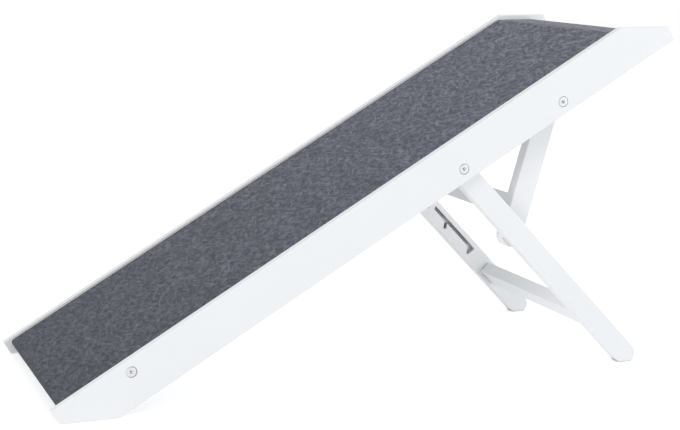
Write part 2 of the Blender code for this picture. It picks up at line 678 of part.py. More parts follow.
def main():
    middle = (RAIL_LENGTH * math.cos(RAMP_ANGLE) - RAIL_HEIGHT * math.sin(RAMP_ANGLE)) / 2
    ramp = add_empty("ramp_axis", None, (-middle, 0, -FLOOR_DROP), -RAMP_ANGLE)
    leg = add_empty("leg_axis", ramp, (LEG_PIVOT_STATION, 0, PIVOT_RISE), LEG_OPEN_ANGLE)
    brace = add_empty("brace_axis", ramp, (LEG_PIVOT_STATION + PIVOT_SPACING, 0, PIVOT_RISE),
                      math.pi - BRACE_OPEN_ANGLE)
    for label, side in SIDES:
        make_side_rail("side_rail_" + label, side, ramp)
        make_deck_fastener(label, side, ramp)
        make_frame_sleeves(label, side, ramp)
    make_deck_board(ramp)
    make_landing_rail(ramp)
    make_carpet(ramp)
    make_frame_dowels(ramp)
    make_leg_frame(leg)
    make_brace_frame(brace)


clear_scene()
PIECES = new_collection("pet_ramp")
CUTTERS = new_collection("cutters")
MATERIALS = {name: finish(name) for name in FINISHES}
main()
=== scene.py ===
"""Looks for the folding pet ramp: white lacquered wood, a strip of heathered felt, and flush steel bolts.

The CAD frame gives every place. Lengths are metres, X runs up the ramp, and the floor is Z = 0.
"""
import json
import math

import bmesh
import bpy
from bpy.props import FloatProperty, FloatVectorProperty, IntProperty, PointerProperty
from mathutils import Matrix, Vector, noise


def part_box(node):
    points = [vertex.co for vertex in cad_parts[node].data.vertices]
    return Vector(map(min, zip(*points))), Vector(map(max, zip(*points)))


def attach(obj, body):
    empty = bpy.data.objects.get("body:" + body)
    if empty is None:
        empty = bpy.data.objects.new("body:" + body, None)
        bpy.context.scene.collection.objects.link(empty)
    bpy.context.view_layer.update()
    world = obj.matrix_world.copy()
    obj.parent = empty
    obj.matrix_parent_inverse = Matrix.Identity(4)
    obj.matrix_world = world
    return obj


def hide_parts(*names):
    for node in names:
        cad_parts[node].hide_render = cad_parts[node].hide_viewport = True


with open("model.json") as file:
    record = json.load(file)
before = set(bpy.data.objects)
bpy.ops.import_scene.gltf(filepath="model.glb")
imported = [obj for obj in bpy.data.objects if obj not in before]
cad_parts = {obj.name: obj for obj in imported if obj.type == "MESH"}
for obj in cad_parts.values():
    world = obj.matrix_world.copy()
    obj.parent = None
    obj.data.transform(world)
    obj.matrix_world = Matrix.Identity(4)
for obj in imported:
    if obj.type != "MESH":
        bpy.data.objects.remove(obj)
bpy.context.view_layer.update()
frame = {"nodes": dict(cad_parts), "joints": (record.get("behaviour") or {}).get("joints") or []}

bl_info = {
    "name": "Folding pet ramp",
    "version": (1, 0, 0),
    "blender": (4, 5, 0),
    "location": "View3D > Sidebar > Pet Ramp",
    "description": "Dresses the packed pet ramp with paint, felt and hardware, and sets up its studio",
    "category": "Object",
}

MM = 0.001
DEG = math.pi / 180
SIDES = (("right", -1), ("left", 1))
RAMP, LEGS, BRACES = "ramp_frame", "leg_frame", "brace_frame"

# The ramp's own axes: X up the slope from the foot of the rails, Z square to it
SLOPE = 30 * DEG
SLOPE_FOOT = Vector((-418.69 * MM, 0, -33.255 * MM))

# How the legs and braces lean, which turns their grain
LEG_LEAN = 46.9 * DEG
BRACE_LEAN = 108.2 * DEG

# Where the bolts go: the low one by its place along and above the slope, and how far out the heads' faces lie
LEG_PIVOT, BRACE_PIVOT = (Vector(joint["pos_m"]) for joint in frame["joints"])
DECK_BOLT = (112 * MM, 43.2 * MM)
OUTER_FACE, NOTCH_FACE = 192.7 * MM, 138.3 * MM

# How long and wide the bolts' shanks are, and how many sides stand for round
DECK_SHANK, LEG_SHANK, BRACE_SHANK, NOTCH_SHANK = 50 * MM, 29.6 * MM, 51.1 * MM, 18.5 * MM
SHANK_WIDTH, NOTCH_WIDTH = 6 * MM, 5 * MM
BOLT_SIDES = 48

# The sockets' bevel and dished floor, and how much farther than their depth the socket's painted shade
# reaches
SOCKET_BEVEL, SOCKET_DISH, SOCKET_SHADE_REACH = 0.25 * MM, 0.4 * MM, 0.9 * MM

# The felt's path along the slope: where it starts and ends, its height, how deep the level landing is, and
# how gently it bends onto the landing
FELT_FOOT, FELT_FRONT, FELT_TOP, FELT_LANDING = 10.5 * MM, 978 * MM, 55.7 * MM, 59.43 * MM
LANDING_ROUND = 14 * MM

# How closely the felt's cross-sections follow each other, in straight runs and in bends
FELT_STEP, BEND_STEP = 4.5 * MM, 7 * DEG

# The waves in the felt's surface, each with its fineness and its share, and the fineness of the frayed edges
FELT_WAVES = ((9, 0.5), (160, 0.35), (520, 0.3))
FRAY_SCALE = 300

# Each lamp's place, under the name of its power in RampStudio, and the size and aim that they share
LAMPS = {"side": (3.5, -3.5, 1.5), "foot": (-4.6, -2.7, 1.8), "top": (4.5, -0.3, 2.0)}
LAMP_SIZE = 2.5
LAMP_AIM = Vector((0, 0, 0.2))


def up_slope(station, across, rise):
    """A point given along, across and square to the slope, in the row frame."""
    x = station * math.cos(SLOPE) - rise * math.sin(SLOPE)
    z = station * math.sin(SLOPE) + rise * math.cos(SLOPE)
    return SLOPE_FOOT + Vector((x, across, z))


# Shader maths


class Wire:
    """An output of a node, on which sums write themselves as Math nodes."""

    def __init__(self, recipe, socket):
        self.recipe = recipe
        self.socket = socket

    def out(self, name):
        """Another output of the same node."""
        return Wire(self.recipe, self.socket.node.outputs[name])

    def sum(self, operation, first, second=None):
        values = {0: first} if second is None else {0: first, 1: second}
        return self.recipe.node("Math", {"operation": operation}, values)

    def __add__(self, other):
        return self.sum("ADD", self, other)

    def __radd__(self, other):
        return self.sum("ADD", other, self)

    def __sub__(self, other):
        return self.sum("SUBTRACT", self, other)

    def __rsub__(self, other):
        return self.sum("SUBTRACT", other, self)

    def __mul__(self, other):
        return self.sum("MULTIPLY", self, other)

    def __rmul__(self, other):
        return self.sum("MULTIPLY", other, self)

    def __abs__(self):
        return self.sum("ABSOLUTE", self)


class Recipe:
    """The nodes of a material or a world, all of which come from node()."""

    def __init__(self, owner):
        self.owner = owner
        owner.use_nodes = True
        self.tree = owner.node_tree
        self.tree.nodes.clear()

    def node(self, kind, settings=None, values=None, out=0):
        made = self.tree.nodes.new("ShaderNode" + kind)
        for name, value in (settings or {}).items():
            if name == "stops":
                self.set_stops(made.color_ramp, value)
            else:
                setattr(made, name, value)
        for key, value in (values or {}).items():
            if isinstance(value, Wire):
                self.tree.links.new(value.socket, made.inputs[key])
            else:
                made.inputs[key].default_value = value
        return Wire(self, made.outputs[out]) if made.outputs else None

    def set_stops(self, ramp, stops):
        while len(ramp.elements) < len(stops):
            ramp.elements.new(1.0)
        for element, (position, grey) in zip(ramp.elements, stops):
            element.position = position
            element.color = (grey, grey, grey, 1.0)

    def place(self):
        return self.node("TexCoord", out="Object")

    def noise(self, place, scale, detail, roughness=0.5, distortion=0.0):
        values = {"Vector": place, "Scale": scale, "Detail": detail, "Roughness": roughness,
                  "Distortion": distortion}
        return self.node("TexNoise", None, values)

    def ramp(self, value, *stops):
        return self.node("ValToRGB", {"stops": stops}, {0: value})

    def mix(self, amount, first, second):
        return self.node("Mix", {"data_type": "RGBA"}, {0: amount, 6: first, 7: second}, out=2)

    def highest(self, first, second):
        return self.node("Math", {"operation": "MAXIMUM"}, {0: first, 1: second})

    def bump(self, height, depth, strength):
        return self.node("Bump", None, {"Height": height, "Distance": depth, "Strength": strength})

    def surface(self, values):
        self.node("OutputMaterial", None, {"Surface": self.node("BsdfPrincipled", None, values)})
        return self.owner

    def seen(self):
        """1 where the camera, a reflection or a glass looks, and 0 where light is being gathered."""
        rays = self.node("LightPath", out="Is Camera Ray")
        return rays + rays.out("Is Glossy Ray") + rays.out("Is Transmission Ray")


def new_material(name):
    return Recipe(bpy.data.materials.new(name))


def rgba(colour, share=1.0):
    return (colour[0] * share, colour[1] * share, colour[2] * share, 1.0)


# Materials


def lacquered_wood(name, lean, paint, painted_shade_reach=0):
    """Satin white lacquer: the grain just shows through it, along the bar, under a fine spray texture.

    Painted shade: in gaps and corners narrower than the given reach, ambient occlusion darkens the lacquer's
    colour.
    """
    r = new_material(name)
    place = r.place()
    along = r.node("VectorRotate", {"rotation_type": "Y_AXIS"}, {"Vector": place, "Angle": lean})
    stretched = r.node("Mapping", None, {"Vector": along, "Scale": (9.0, 260.0, 260.0)})
    grain = r.noise(stretched, 1.0, 3.0, 0.6, 0.4)
    cloud = r.noise(place, 7.0, 2.0)
    spray = r.noise(place, 900.0, 1.0)
    tone = r.ramp(cloud * 0.7 + grain * 0.3, (0.25, 0.0), (0.75, 1.0))
    colour = r.mix(tone, rgba(paint.colour, 0.972), rgba(paint.colour))
    if painted_shade_reach:
        # Painted shade: ambient occlusion darkens the colour in slots, gaps and corners, where shade falls
        open_air = r.node("AmbientOcclusion", {"samples": 8}, {"Distance": painted_shade_reach}, out="AO")
        colour = r.mix(r.ramp(open_air, (0.15, 0.0), (0.6, 1.0)), rgba(paint.colour, 0.3), colour)
    height = grain * 0.6 + spray * 0.4
    return r.surface({
        "Base Color": colour,
        "Roughness": paint.roughness - 0.05 + 0.1 * cloud,
        "Normal": r.bump(height, paint.grain_depth, 0.6),
        "Coat Weight": 0.15,
        "Coat Roughness": 0.25,
    })


def streaks(r, place, turn, length, width):
    """Noise drawn out into short fibres that lie one way over the carpet."""
    turned = r.node("VectorRotate", {"rotation_type": "Z_AXIS"}, {"Vector": place, "Angle": turn})
    drawn = r.node("Mapping", None, {"Vector": turned, "Scale": (1 / length, 1 / width, 1 / width)})
    return r.noise(drawn, 1.0, 1.0, 0.5, 0.3)


def felt_margin(reach, edge, felt):
    """Rises from 0 to 1 over the band that lies just inside one edge of the carpet."""
    return (reach - (edge - felt.edge_shade)) * (1 / felt.edge_shade)


def needled_felt(name, felt):
    """Heathered needle felt: pale and dark fibres crossing every way, with painted shade along its edges and
    ends and towards its foot.
    """
    r = new_material(name)
    local = r.node("VectorMath", {"operation": "SUBTRACT"}, {0: r.place(), 1: SLOPE_FOOT})
    place = r.node("VectorRotate", {"rotation_type": "Y_AXIS"}, {"Vector": local, "Angle": SLOPE})
    drawn = r.node("Mapping", None, {"Vector": place, "Scale": (1.0, felt.draw, 1.0)})
    bend = r.node("TexNoise", None, {"Vector": drawn, "Scale": 90.0, "Detail": 1.0}, out="Color")
    wander = r.node("VectorMath", {"operation": "SCALE"}, {0: bend, "Scale": felt.fibre_bend})
    loose = r.node("VectorMath", {"operation": "ADD"}, {0: drawn, 1: wander})
    pale_fibre = r.highest(streaks(r, loose, 60 * DEG, felt.fibre_length, felt.fibre_width),
                           streaks(r, loose, -50 * DEG, felt.fibre_length, felt.fibre_width))
    dark_fibre = r.highest(streaks(r, loose, 85 * DEG, felt.fibre_length, felt.fibre_width),
                           streaks(r, loose, -15 * DEG, felt.fibre_length, felt.fibre_width))
    fleck = r.noise(loose, 1 / felt.fleck, 1.0, 0.5, 0.5)
    cloud = r.noise(place, 30.0, 2.0)
    body = r.mix(r.ramp(fleck, (0.36, 0.0), (0.64, 1.0)), rgba(felt.dark), rgba(felt.middle))
    darkened = r.mix(r.ramp(dark_fibre, (0.5, 0.0), (0.74, 1.0)) * 0.6, body, rgba(felt.dark))
    flecked = r.mix(r.ramp(pale_fibre, (0.56, 0.0), (0.76, 1.0)) * 0.6, darkened, rgba(felt.pale))
    across = r.node("SeparateXYZ", None, {0: place}, out="Y")
    station = across.out("X")
    # Painted shade: the felt's colour darkens steadily towards the foot of the slope, standing in for light
    # that falls off there
    foot_shade_share = felt.foot_shade - station * (felt.foot_shade / FELT_FRONT)
    clouded = r.mix(r.ramp(cloud, (0.35, 0.0), (0.7, 1.0)) * 0.2, flecked, rgba(felt.dark))
    foot_shaded = r.mix(foot_shade_share, clouded, (0.0, 0.0, 0.0, 1.0))
    # Painted shade: a darker band along both long edges and both ends of the felt, where the rails and folds
    # shade it
    ends = r.highest(felt_margin(station * -1, -FELT_FOOT, felt), felt_margin(station, FELT_FRONT, felt))
    edge_shade_band = r.highest(felt_margin(abs(across), felt.width / 2, felt), ends)
    edge_shaded = r.mix(r.ramp(edge_shade_band, (0.2, 0.0), (1.0, 1.0)) * 0.85, foot_shaded, rgba(felt.dark, 0.5))
    return r.surface({
        "Base Color": edge_shaded,
        "Roughness": 0.95,
        "Specular IOR Level": 0.15,
        "Sheen Weight": 0.12,
        "Sheen Roughness": 0.5,
        "Normal": r.bump(fleck * 0.4 + pale_fibre * 0.35 - dark_fibre * 0.25, felt.nap, 0.8),
    })


def bare_beech(name, paint):
    """Turned beech for the glued dowels: short dark rays in pale pink-brown wood."""
    r = new_material(name)
    place = r.place()
    coarse = r.node("Mapping", None, {"Vector": place, "Scale": (180.0, 30.0, 180.0)})
    fine = r.node("Mapping", None, {"Vector": place, "Scale": (1500.0, 260.0, 1500.0)})
    grain = r.noise(coarse, 1.0, 4.0, 0.6, 0.8)
    rays = r.noise(fine, 1.0, 1.0)
    wood = r.mix(grain, rgba(paint.beech, 0.8), rgba(paint.beech, 1.08))
    colour = r.mix(r.ramp(rays, (0.6, 0.0), (0.72, 1.0)) * 0.5, wood, rgba(paint.beech, 0.5))
    return r.surface({"Base Color": colour, "Roughness": 0.55 + 0.1 * grain,
                      "Normal": r.bump(grain, 0.0003, 0.5)})


def plated_metal(name, colour, roughness):
    """Plated metal with a fine turned finish and a few dull patches."""
    r = new_material(name)
    place = r.place()
    turning = r.noise(place, 1600.0, 2.0)
    patch = r.noise(place, 260.0, 3.0)
    return r.surface({
        "Base Color": r.mix(patch, rgba(colour, 0.86), rgba(colour, 1.05)),
        "Metallic": 1.0,
        "Roughness": roughness - 0.06 + 0.14 * patch,
        "Normal": r.bump(turning, 0.00004, 0.5),
    })


def moulded_nylon(name, colour):
    """Off-white nylon with the faint orange peel of a moulding."""
    r = new_material(name)
    peel = r.noise(r.place(), 700.0, 2.0)
    return r.surface({
        "Base Color": r.mix(peel, rgba(colour, 0.95), rgba(colour)),
        "Roughness": 0.42 + 0.1 * peel,
        "Normal": r.bump(peel, 0.00008, 0.4),
    })


# Meshes


def new_piece(name, vertices, faces, material, body, slot, *nodes):
    """A mesh piece that rides on a body and stands for the CAD nodes it redraws."""
    mesh = bpy.data.meshes.new(name)
    mesh.from_pydata(vertices, [], faces)
    mesh.validate()
    shell = bmesh.new()
    shell.from_mesh(mesh)
    bmesh.ops.recalc_face_normals(shell, faces=shell.faces)
    shell.to_mesh(mesh)
    shell.free()
    mesh.materials.append(material)
    mesh.shade_smooth()
    piece = bpy.data.objects.new(name, mesh)
    bpy.context.scene.collection.objects.link(piece)
    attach(piece, body)
    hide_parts(*nodes)
    return piece


def joined_rings(rings):
    """Vertices and quads that join rings of equally many points, with a cap on each end."""
    count = len(rings[0])
    vertices = [point for ring in rings for point in ring]
    faces = []
    for i in range(len(rings) - 1):
        for j in range(count):
            a, b = i * count + j, i * count + (j + 1) % count
            faces.append((a, b, b + count, a + count))
    faces.append(tuple(reversed(range(count))))
    faces.append(tuple(range(len(vertices) - count, len(vertices))))
    return vertices, faces


def dress(material, slot, *names):
    """Gives CAD nodes a finish, in every material slot that they have."""
    for name in names:
        node = frame["nodes"][name]
        if not node.material_slots:
            node.data.materials.append(material)
        for place in node.material_slots:
            place.material = material


def bent_path(corners, radii):
    """Points with their normals along a path of straight runs and arcs, in the slope's own plane."""
    points = []
    last = len(corners) - 1
    start = Vector(corners[0])
    for i in range(1, last + 1):
        here = Vector(corners[i])
        ahead = (here - start).normalized()
        normal = Vector((-ahead.y, ahead.x))
        if i == last:
            points += straight_run(start, here, normal)
            break
        away = (Vector(corners[i + 1]) - here).normalized()
        turn = ahead.angle(away)
        trim = radii[i] * math.tan(turn / 2)
        end = here - ahead * trim
        points += straight_run(start, end, normal)
        centre = end - normal * radii[i]
        count = max(3, round(turn / BEND_STEP))
        for k in range(1, count):
            spun = Matrix.Rotation(-turn * k / count, 2) @ normal
            points.append((centre + spun * radii[i], spun))
        start = here + away * trim
    return points


def straight_run(start, end, normal):
    count = max(1, round((end - start).length / FELT_STEP))
    return [(start.lerp(end, k / count), normal) for k in range(count + 1)]


def path_length(points):
    return sum((second[0] - first[0]).length for first, second in zip(points, points[1:]))


def carpet_ring(point, normal, felt):
    """One cross-section of the carpet: its top, its softly rounded edges and its back."""
    middle = point - normal * felt.thickness / 2
    half = felt.width / 2
    reach = felt.thickness / 2
    soft = felt.edge_round
    top = [(-half + soft + (2 * half - 2 * soft) * i / felt.columns, reach) for i in range(felt.columns + 1)]
    right = [(half - soft + soft * math.sin(turn), reach - soft + soft * math.cos(turn))
             for turn in (30 * DEG, 60 * DEG, 90 * DEG)]
    left = [(-x, z) for x, z in reversed(right)]
    back = [(half, -reach), *[(x, -reach) for x, _ in reversed(top[1:-1])], (-half, -reach)]
    ring = []
    for across, height in top + right + back + left:
        station, rise = middle + normal * height
        spot = up_slope(station, across, rise)
        wave = sum(noise.noise(spot * scale) * share for scale, share in FELT_WAVES)
        lift = felt.unevenness * wave if height > 0 else 0
        fray = abs(noise.noise(spot * FRAY_SCALE)) * felt.unevenness if abs(across) > half - soft else 0
        pull = -math.copysign(fray, across)
        ring.append(up_slope(station + normal.x * lift, across + pull, rise + normal.y * lift))
    return ring


def hex_reach(angle, across_flats):
    """How far a hexagon's side lies from its middle, in a given direction."""
    return across_flats / 2 / math.cos((angle % (60 * DEG)) - 30 * DEG)


def bolt_rings(bolts, shank, shank_width):
    """Rings down a bolt, from the middle of its hex socket to its tip, as local points with Z outwards.

    Each is given by its radius, its height and whether it is hexagonal. A hexagon's radius is a share of the
    socket's, and four of the rings round the head's rim over.
    """
    head, rim, stem, depth = bolts.head_width / 2, bolts.rim, shank_width / 2, bolts.socket_depth
    rings = [
        (0.55, -depth - SOCKET_DISH, True), (1, -depth, True), (1, -SOCKET_BEVEL, True), (1.12, 0, True),
        (head - rim * 2.2, 0, False), (head - rim * 1.2, -rim * 0.12, False),
        (head - rim * 0.45, -rim * 0.5, False), (head, -rim * 1.2, False), (head, -bolts.head_height, False),
        (stem, -bolts.head_height, False), (stem, -bolts.head_height - shank, False),
    ]
    turned = []
    for size, height, hexagon in rings:
        ring = []
        for k in range(BOLT_SIDES):
            angle = 2 * math.pi * k / BOLT_SIDES
            radius = hex_reach(angle, bolts.socket_width) * size if hexagon else size
            ring.append(Vector((radius * math.cos(angle), radius * math.sin(angle), height)))
        turned.append(ring)
    return turned


def flush_bolt(name, place, facing, shank, body, bolts, node, shank_width=SHANK_WIDTH):
    """A bolt let in flush, whose head looks along Y, with painted shade, a darker and rougher finish, on the
    floor and bevel of its hex socket.
    """
    turn = Vector((0, facing, 0)).to_track_quat("Z", "Y").to_matrix()
    rings = [[place + turn @ point for point in ring] for ring in bolt_rings(bolts, shank, shank_width)]
    vertices, faces = joined_rings(rings)
    bolt = new_piece(name, vertices, faces, finish_of("zinc_steel"), body, "zinc_steel", node)
    bolt.data.materials.append(finish_of("socket_steel"))
    for face in bolt.data.polygons:
        reach = max((bolt.data.vertices[i].co - place).length for i in face.vertices)
        # Painted shade: the faces in and near the hex socket take the darker socket finish
        face.material_index = int(reach < bolts.socket_depth + SOCKET_SHADE_REACH)
    bolt.data.set_sharp_from_angle(angle=35 * DEG)
    return bolt


def finish_of(name):
    """The scene's own finish of that name, made the first time that it is asked for."""
    scene = bpy.context.scene
    paint, felt, bolts = scene.ramp_paint, scene.ramp_felt, scene.ramp_bolts
    if name in bpy.data.materials and bpy.data.materials[name].get("ramp_finish"):
        return bpy.data.materials[name]
    makers = {
        "lacquer_slope": lambda: lacquered_wood(name, SLOPE, paint),
        # The legs take painted shade in their slots and corners
        "lacquer_leg": lambda: lacquered_wood(name, -LEG_LEAN, paint, paint.painted_shade_reach),
        "lacquer_brace": lambda: lacquered_wood(name, -BRACE_LEAN, paint),
        "lacquer_across": lambda: lacquered_wood(name, 0.0, paint),
        "heathered_felt": lambda: needled_felt(name, felt),
        "dowel_beech": lambda: bare_beech(name, paint),
        "zinc_steel": lambda: plated_metal(name, bolts.steel, 0.3),
        "socket_steel": lambda: plated_metal(name, bolts.socket, 0.6),
        "insert_brass": lambda: plated_metal(name, bolts.brass, 0.35),
        "washer_nylon": lambda: moulded_nylon(name, bolts.nylon),
    }
    material = makers[name]()
    material["ramp_finish"] = True
    return material


# What a user can change


class RampPaint(bpy.types.PropertyGroup):
    """The painted and bare wood."""
    colour: FloatVectorProperty(name="Lacquer", description="Colour of the painted wood", subtype="COLOR",
                                default=(0.862, 0.866, 0.877), min=0, max=1)
    beech: FloatVectorProperty(name="Beech", description="Colour of the bare dowels", subtype="COLOR",
                               default=(0.66, 0.47, 0.29), min=0, max=1)
    roughness: FloatProperty(name="Roughness", description="How matt the lacquer is", default=0.42, min=0.1,
                             max=1, subtype="FACTOR")
    # Painted shade: how far the ambient occlusion reaches that darkens the lacquer's colour in narrow gaps;
    # the lacquer itself is not thinner there
    painted_shade_reach: FloatProperty(name="Recess", description="Width of the gaps where the lacquer goes thin and dull",
                          default=9 * MM, min=MM, max=50 * MM, unit="LENGTH")
    grain_depth: FloatProperty(name="Grain depth", description="How deep the grain shows through the lacquer",
                               default=0.06 * MM, min=0, max=MM, precision=5, unit="LENGTH")


class RampFelt(bpy.types.PropertyGroup):
    """The carpet."""
    width: FloatProperty(name="Width", description="Carpet's width between the rails", default=361.2 * MM,
                         min=0.1, max=1, unit="LENGTH")
    thickness: FloatProperty(name="Thickness", description="Thickness of the felt", default=4.7 * MM, min=MM,
                             max=8 * MM, unit="LENGTH")
    edge_round: FloatProperty(name="Edge", description="Softening of the cut edges", default=1.2 * MM, min=0,
                              max=2 * MM, unit="LENGTH")
    foot_wrap: FloatProperty(name="Foot wrap", description="How far the felt folds down at the foot",
                             default=19 * MM, min=MM, max=40 * MM, unit="LENGTH")
    front_wrap: FloatProperty(name="Front wrap", description="How far the felt folds down in front",
                              default=18.5 * MM, min=MM, max=40 * MM, unit="LENGTH")
    nose: FloatProperty(name="Nose", description="Radius of the folds at both ends", default=5.2 * MM,
                        min=MM, max=20 * MM, unit="LENGTH")
    unevenness: FloatProperty(name="Unevenness", description="How far the felt's surface wanders",
                              default=0.3 * MM, min=0, max=MM, precision=5, unit="LENGTH")
    nap: FloatProperty(name="Nap", description="Depth of the fibres in the shader", default=0.7 * MM, min=0,
                       max=3 * MM, precision=5, unit="LENGTH")
    fleck: FloatProperty(name="Fleck", description="Size of the felt's flecks", default=6 * MM, min=MM / 2,
                         max=20 * MM, precision=5, unit="LENGTH")
    fibre_length: FloatProperty(name="Fibre length", description="Length of a fibre that shows",
                                default=13 * MM, min=MM, max=50 * MM, unit="LENGTH")
    fibre_width: FloatProperty(name="Fibre width", description="Width of a strand of fibres",
                               default=3.8 * MM, min=0.1 * MM, max=5 * MM, precision=5, unit="LENGTH")
    fibre_bend: FloatProperty(name="Fibre bend", description="How far the fibres wander", default=6 * MM,
                              min=0, max=30 * MM, unit="LENGTH")
    draw: FloatProperty(name="Draw", description="How far the fibres are drawn out across the ramp, under 1",
                        default=0.55, min=0.1, max=1)
    # Painted shade: how much darker the felt's colour grows towards its foot; the felt is not worn there
    foot_shade: FloatProperty(name="Foot wear", description="How much darker the felt is at its foot",
                             default=0.5, min=0, max=1, subtype="FACTOR")
    # Painted shade: width of the darker band painted along the felt's edges and ends; the cut edges are not
    # darker in themselves
    edge_shade: FloatProperty(name="Edge shade", description="Width of the darker cut edges", default=9 * MM,
                              min=MM / 10, max=20 * MM, unit="LENGTH")
    columns: IntProperty(name="Columns", description="Points across the carpet", default=72, min=8, max=400)
    dark: FloatVectorProperty(name="Dark fibre", description="The felt's darkest fibres", subtype="COLOR",
                              default=(0.08, 0.085, 0.108), min=0, max=1)
    middle: FloatVectorProperty(name="Middle fibre", description="Most of the felt's fibres", subtype="COLOR",
                                default=(0.193, 0.203, 0.249), min=0, max=1)
    pale: FloatVectorProperty(name="Pale fibre", description="The pale flecks", subtype="COLOR",
                              default=(0.335, 0.347, 0.405), min=0, max=1)


class RampBolts(bpy.types.PropertyGroup):
    """The hardware."""
    head_width: FloatProperty(name="Head", description="Width of a bolt's head", default=13.8 * MM,
                              min=6 * MM, max=20 * MM, unit="LENGTH")
    head_height: FloatProperty(name="Head height", description="Thickness of a bolt's head", default=2.4 * MM,
                               min=MM, max=6 * MM, unit="LENGTH")
    rim: FloatProperty(name="Rim", description="Width of the head's softened rim", default=0.45 * MM, min=0,
                       max=2 * MM, unit="LENGTH")
    socket_width: FloatProperty(name="Socket", description="Hex socket across flats", default=4.4 * MM,
                                min=2 * MM, max=8 * MM, unit="LENGTH")
    socket_depth: FloatProperty(name="Socket depth", description="Depth of the hex socket", default=2.1 * MM,
                                min=0, max=4 * MM, unit="LENGTH")
    steel: FloatVectorProperty(name="Steel", description="Plated steel", subtype="COLOR",
                               default=(0.66, 0.66, 0.67), min=0, max=1)
    # Painted shade: the darker colour given to the inside of the hex socket, where shade falls
    socket: FloatVectorProperty(name="Socket colour", description="Dull inside of the hex socket",
                                subtype="COLOR", default=(0.3, 0.3, 0.3), min=0, max=1)
    brass: FloatVectorProperty(name="Brass", description="Threaded inserts", subtype="COLOR",
                               default=(0.72, 0.54, 0.27), min=0, max=1)
    nylon: FloatVectorProperty(name="Nylon", description="Washers and spacers", subtype="COLOR",
                               default=(0.8, 0.8, 0.78), min=0, max=1)


class RampStudio(bpy.types.PropertyGroup):
    """The stage."""
    lens: FloatProperty(name="Lens", description="Focal length, in millimetres, on a 36 mm sensor",
                        default=84.97, min=10, max=300)
    camera_place: FloatVectorProperty(name="Camera", description="Where the camera stands",
                                      subtype="TRANSLATION", default=(-0.79912, -2.15054, 0.61338))
    camera_turn: FloatVectorProperty(name="Camera angle", description="Which way the camera looks",
                                     subtype="EULER", default=(80.073 * DEG, 0, -20.756 * DEG))
    sky: FloatProperty(name="Sky", description="Strength of the even light", default=0.67, min=0, max=5)
    sky_colour: FloatVectorProperty(name="Sky colour", description="Tint of the even light", subtype="COLOR",
                                    default=(0.95, 0.98, 1.0), min=0, max=1)
    side: FloatProperty(name="Side lamp", description="Power of the soft lamp right of the camera, in watts",
                        default=40, min=0, max=1000)
    foot: FloatProperty(name="Foot lamp", description="Power of the soft lamp beyond the foot, in watts",
                        default=98, min=0, max=1000)
    top: FloatProperty(name="Top lamp", description="Power of the soft lamp beyond the top end, in watts",
                       default=50, min=0, max=1000)
    floor_colour: FloatVectorProperty(name="Floor colour", description="Colour of the floor", subtype="COLOR",
                                      default=(0.97, 0.97, 0.97), min=0, max=1)
    floor_lift: FloatProperty(name="Floor lift", description="What is added to the floor where it is seen",
                              default=0.44, min=0, max=1)
    floor_radius: FloatProperty(name="Floor", description="Radius of the pale floor", default=7, min=1,
                                max=50, unit="LENGTH")


# Operators, one for each group of like pieces


class RampOperator:
    """What all of the ramp's operators share."""
    bl_options = {"REGISTER", "UNDO"}


class PETRAMP_OT_deck(RampOperator, bpy.types.Operator):
    """Paints the side rails, the deck board and the landing rail"""
    bl_idname = "petramp.deck"
    bl_label = "Rails and Deck"

    def execute(self, context):
        dress(finish_of("lacquer_slope"), "white_paint", "side_rail_right", "side_rail_left", "deck_board")
        dress(finish_of("lacquer_across"), "white_paint", "landing_rail")
        return {"FINISHED"}


class PETRAMP_OT_carpet(RampOperator, bpy.types.Operator):
    """Lays the felt over the deck, folded down over both of its ends"""
    bl_idname = "petramp.carpet"
    bl_label = "Carpet"

    def execute(self, context):
        felt = context.scene.ramp_felt
        crease = FELT_FRONT - FELT_LANDING * math.cos(SLOPE)
        edge = FELT_TOP - FELT_LANDING * math.sin(SLOPE)
        corners = [(FELT_FOOT, FELT_TOP - felt.foot_wrap), (FELT_FOOT, FELT_TOP), (crease, FELT_TOP),
                   (FELT_FRONT, edge), (FELT_FRONT, edge - felt.front_wrap)]
        path = bent_path(corners, [0, felt.nose, LANDING_ROUND, felt.nose, 0])
        vertices, faces = joined_rings([carpet_ring(point, normal, felt) for point, normal in path])
        carpet = new_piece("felt_carpet", vertices, faces, finish_of("heathered_felt"), RAMP, "carpet_felt",
                           "carpet")
        carpet.data.set_sharp_from_angle(angle=60 * DEG)
        path_length(path)
        return {"FINISHED"}


class PETRAMP_OT_legs(RampOperator, bpy.types.Operator):
    """Paints the notched legs and their crossbar"""
    bl_idname = "petramp.legs"
    bl_label = "Legs"

    def execute(self, context):
        dress(finish_of("lacquer_leg"), "white_paint", "support_leg_right", "support_leg_left")
        dress(finish_of("lacquer_across"), "white_paint", "leg_stretcher")
        return {"FINISHED"}


class PETRAMP_OT_braces(RampOperator, bpy.types.Operator):
    """Paints the braces and their crossbar"""
    bl_idname = "petramp.braces"
    bl_label = "Braces"

    def execute(self, context):
        dress(finish_of("lacquer_brace"), "white_paint", "brace_right", "brace_left")
        dress(finish_of("lacquer_across"), "white_paint", "brace_stretcher")
        return {"FINISHED"}


